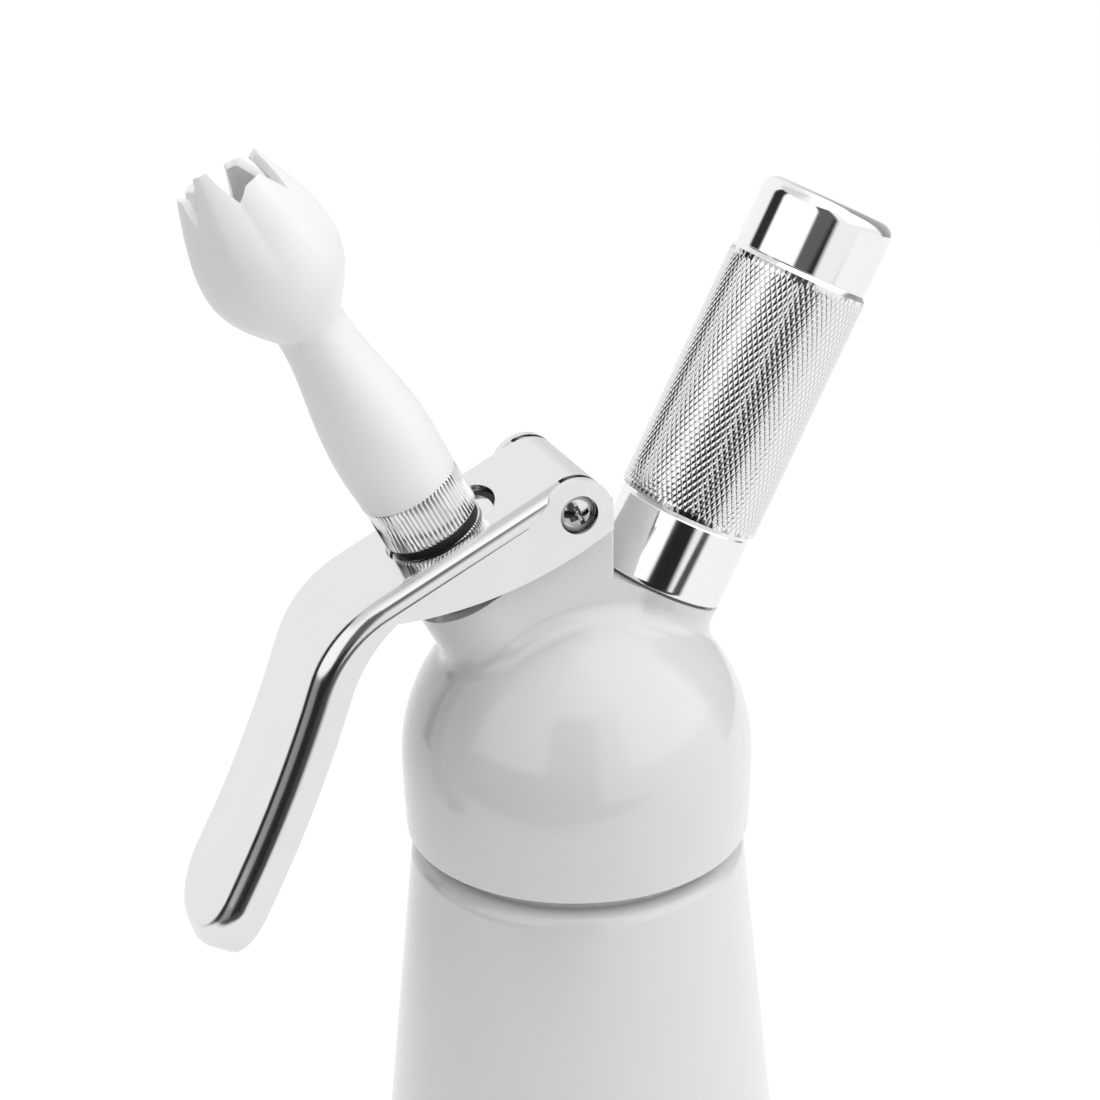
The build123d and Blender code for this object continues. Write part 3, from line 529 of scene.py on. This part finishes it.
class DISPENSER_OT_ribs(bpy.types.Operator):
    """Model the collar and the nut with their straight knurls"""
    bl_idname = "dispenser.ribs"
    bl_label = "Ribbed Collar and Nut"

    # Share of the depth that is cut away, once round a rib.
    SECTION = (1.0, 0.45, 0.08, 0.0, 0.08, 0.45)
    # Radii in millimetres between which a skin is ribbed, and the distance of the nut's flats.
    COLLAR_SKIN, NUT_SKIN = (8.7, math.inf), (8.2, 8.6)
    NUT_FLAT = 8.79
    NUT_DEPTH = 0.7     # of the collar's rib depth

    def execute(self, context):
        ribs = context.scene.dispenser_ribs
        base, top = COLLAR_BASE / MM, COLLAR_TOP / MM
        collar = [(4.38, base), (8.45, base), (8.9, base + 0.4), (8.9, top - 0.4), (8.6, top),
                  (6.4, top), (6.4, top + 7.7), (6.1, top + 8.0), (2.6, top + 8.0),
                  (2.6, base + 7.9), (4.38, base + 7.9)]
        bm = self.ribbed(collar, self.COLLAR_SKIN, base, ribs.collar_ribs, ribs.depth)
        self.place("ribbed_collar", bm, "tip", "tip_collar")

        foot, seat, top = NUT_FOOT / MM, NUT_SEAT / MM, NUT_TOP / MM
        nut = [(4.05, seat - 1.5), (7.6, seat - 1.5), (7.6, foot), (8.8, foot),
               (8.8, seat - 1.5), (10.7, seat - 1.5), (10.9, seat - 1.3), (10.9, seat - 0.2),
               (10.7, seat), (8.5, seat), (8.5, top - 0.2), (8.3, top), (4.05, top)]
        bm = self.ribbed(nut, self.NUT_SKIN, seat - 0.01, ribs.nut_ribs,
                         ribs.depth * self.NUT_DEPTH)
        for side in (1, -1):
            parts = bm.verts[:] + bm.edges[:] + bm.faces[:]
            cut = bmesh.ops.bisect_plane(bm, geom=parts, plane_no=(0, side, 0),
                                         plane_co=(0, side * self.NUT_FLAT * MM, 0),
                                         clear_outer=True)["geom_cut"]
            rim = [item for item in cut if isinstance(item, bmesh.types.BMEdge)]
            bmesh.ops.holes_fill(bm, edges=rim)
        self.place("ribbed_nut", bm, "valve", "stem_nut")
        return {'FINISHED'}

    def ribbed(self, outline, skin, low, count, depth):
        """A turned piece whose skin between two radii, above a height, is drawn into ribs."""
        bm = bmesh.new()
        phases = len(self.SECTION)
        profile = in_metres(outline)
        spin_profile(bm, profile + profile[:1], count * phases)
        # Marks how deep each vertex is cut, which places the painted shade in the grooves.
        groove = bm.verts.layers.float.new("groove")
        for vert in bm.verts:
            reach = vert.co.xy.length
            if skin[0] * MM < reach < skin[1] * MM and vert.co.z > (low - 0.005) * MM:
                turn = math.atan2(vert.co.y, vert.co.x) / math.tau
                cut = self.SECTION[round(turn * count * phases) % phases]
                vert.co.xy *= (reach - depth * cut) / reach
                vert[groove] = cut
        return bm

    def place(self, name, bm, body, node):
        """Puts a ribbed piece on the valve's axis, in place of its CAD node."""
        bm.transform(NOZZLE_BRANCH)
        finish_piece(name, bm, body, "chromed_brass", node, crease=28)


class DISPENSER_OT_tulip(bpy.types.Operator):
    """Model the decorator tip with its pleated petals"""
    bl_idname = "dispenser.tulip"
    bl_label = "Tulip Tip"

    # Outline above the tip's base: radius and reach, in millimetres.
    TUBE = ((9.0, 0), (9.03, 1.6), (9.1, 3.2), (9.18, 4.8), (9.25, 6.9), (9.23, 9.0),
            (9.13, 11.0), (8.91, 13.5), (8.5, 16.8), (7.99, 20.0), (7.3, 23.8), (6.79, 26.5),
            (6.33, 29.8), (6.14, 32.5), (6.1, 34.3))
    BELLY = ((6.16, 34.62), (6.41, 35.0), (6.87, 35.6), (7.55, 36.5), (8.29, 37.5), (9.06, 38.6),
             (10.07, 40.2), (10.9, 41.8), (11.54, 43.5), (11.97, 45.4), (12.14, 47.6),
             (11.95, 50.4), (11.44, 53.0), (10.72, 55.6), (10.1, 57.4))
    PETAL = ((9.65, 58.7), (9.17, 60.0), (8.6, 61.5), (8.02, 63.0), (7.52, 64.2), (7.0, 65.4))
    # Reach of each petal's tip and of the valley after it, in millimetres, from the front on.
    TIPS = (62.6, 64.2, 62.7, 62.9, 64.0, 67.1)
    VALLEYS = (57.6, 56.6, 54.4, 56.2, 59.6, 60.8)
    COLUMNS = 20            # of faces in a petal
    STRETCH_FROM = 45.4     # reach above which the petals differ in length
    PLEAT_FROM, PLEAT_RUN = 43.0, 12.0    # reach where the pleat starts, and how soon it is full
    TIP_HALF = 0.38         # half of a petal's flat top, as a share of half the petal
    MOUTH_TAPER = 0.42      # how the radius falls past the outline's end
    FRONT = 0.25            # share of a turn from -Y to +X

    def execute(self, context):
        tulip = context.scene.dispenser_tulip
        outline = self.TUBE + self.BELLY + self.PETAL
        petals = len(self.TIPS)
        foot, mouth = self.STRETCH_FROM * MM, outline[-1][1] * MM
        bm = bmesh.new()
        spin_profile(bm, in_metres(outline), petals * self.COLUMNS)
        for vert in bm.verts:
            reach = vert.co.z
            turn = (math.atan2(vert.co.y, vert.co.x) / math.tau + self.FRONT) * petals % petals
            if turn > petals - 1e-4:
                turn = 0.0
            off = abs(turn % 1 - 0.5) * 2
            if reach > foot:
                share = (reach - foot) / (mouth - foot)
                reach = foot + (self.top_at(turn, off) * MM - foot) * share
            rise = clamped((reach - self.PLEAT_FROM * MM) / (self.PLEAT_RUN * MM))
            radius = self.radius_at(outline, reach / MM) * MM - tulip.pleat * rise * off
            vert.co.xy *= radius / vert.co.xy.length
            vert.co.z = reach
        bmesh.ops.recalc_face_normals(bm, faces=bm.faces)
        bmesh.ops.solidify(bm, geom=bm.faces, thickness=tulip.wall)
        bm.transform(NOZZLE_BRANCH @ Matrix.Translation((0, 0, COLLAR_TOP)))
        finish_piece("tulip_tip", bm, "tip", "white_plastic", "decorator_tip", crease=32)
        return {'FINISHED'}

    def top_at(self, turn, off):
        """Reach of the mouth's edge, from a petal's flat top down to the valley beside it."""
        petal = int(turn)
        valley = self.VALLEYS[petal] if turn % 1 > 0.5 else self.VALLEYS[petal - 1]
        notch = clamped((off - self.TIP_HALF) / (1 - self.TIP_HALF))
        return self.TIPS[petal] + (valley - self.TIPS[petal]) * notch

    def radius_at(self, outline, reach):
        """Radius of the outline at a reach, between its points."""
        for (r0, h0), (r1, h1) in zip(outline, outline[1:]):
            if reach <= h1:
                return r0 + (r1 - r0) * (reach - h0) / (h1 - h0)
        return outline[-1][0] - self.MOUTH_TAPER * (reach - outline[-1][1])


class DISPENSER_OT_screws(bpy.types.Operator):
    """Model the pivot screws' domed heads with their cross recess"""
    bl_idname = "dispenser.screws"
    bl_label = "Pivot Screws"

    # Radii and heights along a screw, in millimetres.
    DISC, DISC_HEIGHT, DOME_RISE = 2.3, 13.22, 0.78    # top of the head, domed at the end
    ARM_HALF, ARM_REACH = 0.42, 2.05                   # the cross, as it is marked out
    ARM_SINK, ARM_RISE = 1.1, 0.75                     # its depth, and what the rim has less
    ARM_DRAFT = 0.86                                   # its floor against its mouth
    SHANK = ((DISC, DISC_HEIGHT), (2.8, 12.85), (3.15, 12.54), (3.35, 12.25), (3.4, 12.0),
             (3.4, 10.7), (3.3, 10.6), (2.0, 10.6), (2.0, 3.1), (1.5, 2.6), (0, 2.6))
    SEGMENTS = 48
    TURN = math.radians(24)                            # how the cross stands

    def execute(self, context):
        bm = bmesh.new()
        self.screw(bm)
        first = bm.verts[:]
        copied = bmesh.ops.duplicate(bm, geom=first + bm.edges[:] + bm.faces[:])["geom"]
        second = [item for item in copied if isinstance(item, bmesh.types.BMVert)]
        for side, verts in ((1, first), (-1, second)):
            place = (Matrix.Translation(PIVOT) @ Matrix.Rotation(side * -math.pi / 2, 4, 'X')
                     @ Matrix.Rotation(self.TURN, 4, 'Z'))
            bmesh.ops.transform(bm, matrix=place, verts=verts)
        finish_piece("cross_head_screws", bm, "head", "chromed_steel", "pivot_screws", crease=40)
        return {'FINISHED'}

    def screw(self, bm):
        """One screw along +Z: a cross pressed into the top of its head, then the turned rest."""
        disc, top = self.DISC * MM, self.DISC_HEIGHT * MM
        ring = bmesh.ops.create_circle(bm, cap_ends=True, radius=disc, segments=self.SEGMENTS,
                                       matrix=Matrix.Translation((0, 0, top)))["verts"]
        centre = bmesh.ops.poke(bm, faces=[ring[0].link_faces[0]])["verts"][0]
        bmesh.ops.subdivide_edges(bm, edges=list(centre.link_edges), cuts=4)
        slots = [face for face in bm.faces if self.in_cross(face.calc_center_median())]
        sunk = bmesh.ops.extrude_face_region(bm, geom=slots)["geom"]
        floor = [item for item in sunk if isinstance(item, bmesh.types.BMVert)]
        bmesh.ops.delete(bm, geom=slots, context='FACES')
        for vert in floor:
            vert.co.z -= (self.ARM_SINK - self.ARM_RISE * vert.co.xy.length / disc) * MM
            vert.co.xy *= self.ARM_DRAFT
        spin_profile(bm, in_metres(self.SHANK), self.SEGMENTS)
        bmesh.ops.remove_doubles(bm, verts=bm.verts, dist=20 * WELD)
        for vert in bm.verts:
            if vert.co.z > top - 0.02 * MM:
                vert.co.z += self.DOME_RISE * MM * (1 - (vert.co.xy.length / disc) ** 2)

    def in_cross(self, middle):
        """Whether a point of the head's top lies in one of the cross's arms."""
        turn = math.atan2(middle.y, middle.x) % (math.pi / 2)
        off_arm = min(turn, math.pi / 2 - turn) * middle.xy.length
        return off_arm < self.ARM_HALF * MM and middle.xy.length < self.ARM_REACH * MM


class DISPENSER_OT_threads(bpy.types.Operator):
    """Wind the threads of the bottle's neck, the inlet stud and the valve stem"""
    bl_idname = "dispenser.threads"
    bl_label = "Threads"

    STEPS = 48          # round one turn
    SUNK = 0.15         # how deep a ridge's root lies in the metal, in millimetres
    CREST = 0.35        # of the ridge's width
    RUN_OUT = 0.35      # of the pitch, over which an end fades
    RUN_START = 0.4     # of the height, where an end starts

    def execute(self, context):
        threads = context.scene.dispenser_threads
        neck, stud = threads.neck_pitch, threads.stud_pitch
        # Name; radius and start in millimetres; pitch and turns; half-width and height in
        # millimetres; place; body and slot.
        self.wind("neck_thread", 27.0, 168.6, neck, 3.1, 1.0, 0.32, Matrix.Identity(4),
                  "bottle", "white_enamel")
        self.wind("stud_thread", 10.4, 36.4, stud, 6.2, 0.45, 0.3, CHARGER_BRANCH,
                  "head", "machined_steel")
        self.wind("stem_thread", 4.0, 59.2, stud, 4.0, 0.4, 0.07, NOZZLE_BRANCH,
                  "valve", "machined_steel")
        return {'FINISHED'}

    def wind(self, name, radius, start, pitch, turns, half, height, place, body, slot):
        """A ridge of trapezoid section, carried round and up, with both ends run out."""
        bm = bmesh.new()
        root, crest, flat = radius - self.SUNK, radius + height, half * self.CREST
        section = [(root, start - half), (crest, start - flat), (crest, start + flat),
                   (root, start + half)]
        verts = [bm.verts.new((r, 0, h)) for r, h in in_metres(section)]
        edges = [bm.edges.new(pair) for pair in zip(verts, verts[1:] + verts[:1])]
        steps = int(turns * self.STEPS)
        bmesh.ops.spin(bm, geom=verts + edges, cent=(0, 0, 0), axis=(0, 0, 1),
                       angle=math.tau * turns, steps=steps, dvec=(0, 0, pitch * turns / steps),
                       use_duplicate=False)
        ends = [edge for edge in bm.edges if edge.is_boundary]
        bmesh.ops.holes_fill(bm, edges=ends, sides=4)
        surface = radius * MM
        low, high = start * MM, start * MM + pitch * turns
        for vert in bm.verts:
            reach = vert.co.xy.length
            if reach > surface:
                past = min(vert.co.z - low, high - vert.co.z)
                share = clamped(past / (pitch * self.RUN_OUT) + self.RUN_START)
                vert.co.xy *= (surface + (reach - surface) * share) / reach
        bm.transform(place)
        finish_piece(name, bm, body, slot, crease=40)


class DISPENSER_OT_finish(bpy.types.Operator):
    """Give every CAD node its material and soften the edges of the sheet and cast pieces"""
    bl_idname = "dispenser.finish"
    bl_label = "Materials"

    LEVER_ROUND, HEAD_ROUND = 0.32 * MM, 0.4 * MM

    def execute(self, context):
        materials = build_materials()
        slots = {entry["node"]: entry["material_slot"] for entry in frame["record"]["subparts"]}
        for node, piece in frame["nodes"].items():
            slot = slots[node]
            if slot not in materials:
                raise KeyError(f"no material for slot {slot}")
            piece.data.materials.clear()
            piece.data.materials.append(materials[slot])
        self.soften(frame["nodes"]["lever"], self.LEVER_ROUND)
        self.soften(frame["nodes"]["head"], self.HEAD_ROUND)
        return {'FINISHED'}

    def soften(self, piece, width):
        """A small rounding along the sharp edges, so that they catch light."""
        bevel = piece.modifiers.new("edge rounding", 'BEVEL')
        bevel.width = width
        bevel.segments = 3
        bevel.limit_method = 'ANGLE'
        bevel.angle_limit = math.radians(38)
        bevel.harden_normals = True
        bevel.miter_outer = 'MITER_ARC'


# ---------------------------------------------------------------- stage
class DISPENSER_OT_stage(bpy.types.Operator):
    """Set the floor, the soft studio lights and the camera"""
    bl_idname = "dispenser.stage"
    bl_label = "Stage"

    # Turn round the object in degrees from +X, and how bright the studio is there: in the band
    # along the horizon, in the soft boxes above it and in the ceiling.
    HORIZON = ((-180, 0.3), (-163, 0.25), (-155, 0.02), (-101, 0.02), (-95, 0.95), (-8, 0.95),
               (2, 0.3), (40, 0.5), (75, 1.0), (126, 1.0), (134, 0.02), (157, 0.02), (164, 0.3),
               (180, 0.3))
    SOFT_BOXES = ((-180, 1.15), (-133, 1.15), (-129, 0.12), (-101, 0.12), (-95, 1.0), (-80, 1.0),
                  (-76, 1.7), (-12, 1.7), (0, 0.35), (36, 0.45), (75, 1.0), (128, 1.0),
                  (134, 0.03), (154, 0.03), (159, 1.15), (180, 1.15))
    CEILING = ((-180, 0.8), (-112, 1.3), (-70, 1.7), (-10, 1.6), (60, 1.0), (130, 0.7),
               (180, 0.8))
    BRIGHTEST = 3.0
    WHITE = (1.0, 1.0, 1.0, 1)
    # Sine of the height, from where to where one band gives way to the next.
    OVER_HORIZON, UNDER_CEILING = (0.10, 0.16), (0.66, 0.74)

    # The floor: its disc, and the dusk that falls over it towards the camera, each first in the
    # light and then in the dusk.
    FLOOR_RADIUS, FLOOR_HEIGHT = 1.1, -0.0002
    DUSK_AIM, DUSK_SPAN = (-0.643, -0.766, 0.0), (0.33, 0.50)
    PAPER = ((0.45, 0.45, 0.45), (0.02, 0.02, 0.02))
    BOUNCE, SHOWN = (0.50, 0.0), (0.75, 0.98)    # glow in reflections, and to the camera

    SENSOR, SHIFT, CLIP_START = 36, (-0.02095, -0.11413), 0.01

    def execute(self, context):
        stage = context.scene.dispenser_stage
        context.scene.view_settings.view_transform = 'Standard'
        self.world(context.scene)
        self.floor(context.scene)
        self.camera(context.scene, stage)
        return {'FINISHED'}

    def world(self, scene):
        """A white room to the camera; light comes from soft boxes over a band at the horizon."""
        world = bpy.data.worlds.new("studio")
        world.use_nodes = True
        tree = world.node_tree
        backdrop = tree.nodes["Background"]
        backdrop.inputs["Color"].default_value = self.WHITE
        backdrop.inputs["Strength"].default_value = 1.0
        aim = add_node(tree, 'ShaderNodeTexCoord').outputs["Generated"]
        parts = add_node(tree, 'ShaderNodeSeparateXYZ', {"Vector": aim}).outputs
        turn = add_node(tree, 'ShaderNodeMath', {0: parts["Y"], 1: parts["X"]},
                        operation='ARCTAN2').outputs["Value"]
        share = add_node(tree, 'ShaderNodeMapRange', {"Value": turn, "From Min": -math.pi,
                                                      "From Max": math.pi}).outputs["Result"]
        low, high, top = (self.profile(tree, share, stops)
                          for stops in (self.HORIZON, self.SOFT_BOXES, self.CEILING))
        walls = blended(tree, smooth_rise(tree, parts["Z"], self.OVER_HORIZON), low, high)
        room = blended(tree, smooth_rise(tree, parts["Z"], self.UNDER_CEILING), walls, top)
        power = add_node(tree, 'ShaderNodeMath', {0: room, 1: self.BRIGHTEST},
                         operation='MULTIPLY').outputs["Value"]
        light = add_node(tree, 'ShaderNodeBackground', {"Color": self.WHITE, "Strength": power})
        seen = add_node(tree, 'ShaderNodeLightPath').outputs["Is Camera Ray"]
        choice = add_node(tree, 'ShaderNodeMixShader',
                          {0: seen, 1: light.outputs[0], 2: backdrop.outputs[0]})
        tree.links.new(choice.outputs[0], tree.nodes["World Output"].inputs["Surface"])
        scene.world = world

    def profile(self, tree, share, stops):
        """Brightness round the horizon from (degrees, brightness) stops."""
        node = add_node(tree, 'ShaderNodeValToRGB', {"Fac": share})
        ramp = node.color_ramp
        while len(ramp.elements) < len(stops):
            ramp.elements.new(0.5)
        for element, (degrees, brightness) in zip(ramp.elements, stops):
            element.position = (degrees + 180) / 360
            level = brightness / self.BRIGHTEST
            element.color = (level, level, level, 1)
        return node.outputs["Color"]

    def floor(self, scene):
        """A paper disc that glows white to the camera and less in reflections."""
        bm = bmesh.new()
        bmesh.ops.create_circle(bm, cap_ends=True, radius=self.FLOOR_RADIUS, segments=96)
        mesh = bpy.data.meshes.new("floor")
        bm.to_mesh(mesh)
        bm.free()
        material, tree, shader = new_material("floor_paper", self.PAPER[0], Roughness=0.9,
                                              Emission_Color=self.WHITE)
        seen = add_node(tree, 'ShaderNodeLightPath').outputs["Is Camera Ray"]
        place = add_node(tree, 'ShaderNodeTexCoord').outputs["Object"]
        ahead = add_node(tree, 'ShaderNodeVectorMath', {0: place, 1: self.DUSK_AIM},
                         operation='DOT_PRODUCT').outputs["Value"]
        dusk = smooth_rise(tree, ahead, self.DUSK_SPAN)
        drive(tree, toned(tree, dusk, *self.PAPER), shader, "Base Color")
        glow = blended(tree, seen, blended(tree, dusk, *self.BOUNCE),
                       blended(tree, dusk, *self.SHOWN))
        drive(tree, glow, shader, "Emission Strength")
        mesh.materials.append(material)
        floor = bpy.data.objects.new("floor", mesh)
        floor.location.z = self.FLOOR_HEIGHT
        scene.collection.objects.link(floor)

    def camera(self, scene, stage):
        """The view, from the camera's position, turn, height and roll."""
        data = bpy.data.cameras.new("camera")
        data.sensor_width = self.SENSOR
        data.lens = stage.lens
        data.shift_x, data.shift_y = self.SHIFT
        data.clip_start = self.CLIP_START
        camera = bpy.data.objects.new("camera", data)
        az, el, roll = stage.azimuth, stage.elevation, stage.roll
        back = Vector((math.sin(az) * math.cos(el), -math.cos(az) * math.cos(el), math.sin(el)))
        level = Vector((math.cos(az), math.sin(az), 0))
        above = back.cross(level)
        right = level * math.cos(roll) + above * math.sin(roll)
        up = above * math.cos(roll) - level * math.sin(roll)
        turn = Matrix((right, up, back)).transposed().to_4x4()
        camera.matrix_world = Matrix.Translation(stage.position) @ turn
        scene.collection.objects.link(camera)
        scene.camera = camera


OPERATORS = (DISPENSER_OT_finish, DISPENSER_OT_holder, DISPENSER_OT_ribs, DISPENSER_OT_tulip,
             DISPENSER_OT_screws, DISPENSER_OT_threads, DISPENSER_OT_stage)


class DISPENSER_PT_panel(bpy.types.Panel):
    """Buttons for every step"""
    bl_label = "Cream Dispenser"
    bl_idname = "DISPENSER_PT_panel"
    bl_space_type = 'VIEW_3D'
    bl_region_type = 'UI'
    bl_category = "Dispenser"

    def draw(self, context):
        for name, settings in zip(SETTING_NAMES, SETTINGS):
            box = self.layout.box()
            for key in settings.__annotations__:
                box.prop(getattr(context.scene, name), key)
        for operator in OPERATORS:
            self.layout.operator(operator.bl_idname)


CLASSES = SETTINGS + OPERATORS + (DISPENSER_PT_panel,)


def register():
    for cls in CLASSES:
        bpy.utils.register_class(cls)
    for name, settings in zip(SETTING_NAMES, SETTINGS):
        setattr(bpy.types.Scene, name, PointerProperty(type=settings))


def unregister():
    for name in SETTING_NAMES:
        delattr(bpy.types.Scene, name)
    for cls in reversed(CLASSES):
        bpy.utils.unregister_class(cls)


def main():
    register()
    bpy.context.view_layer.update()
    bpy.ops.dispenser.finish()
    bpy.ops.dispenser.holder()
    bpy.ops.dispenser.ribs()
    bpy.ops.dispenser.tulip()
    bpy.ops.dispenser.screws()
    bpy.ops.dispenser.threads()
    bpy.ops.dispenser.stage()


if __name__ == "__main__":
    main()
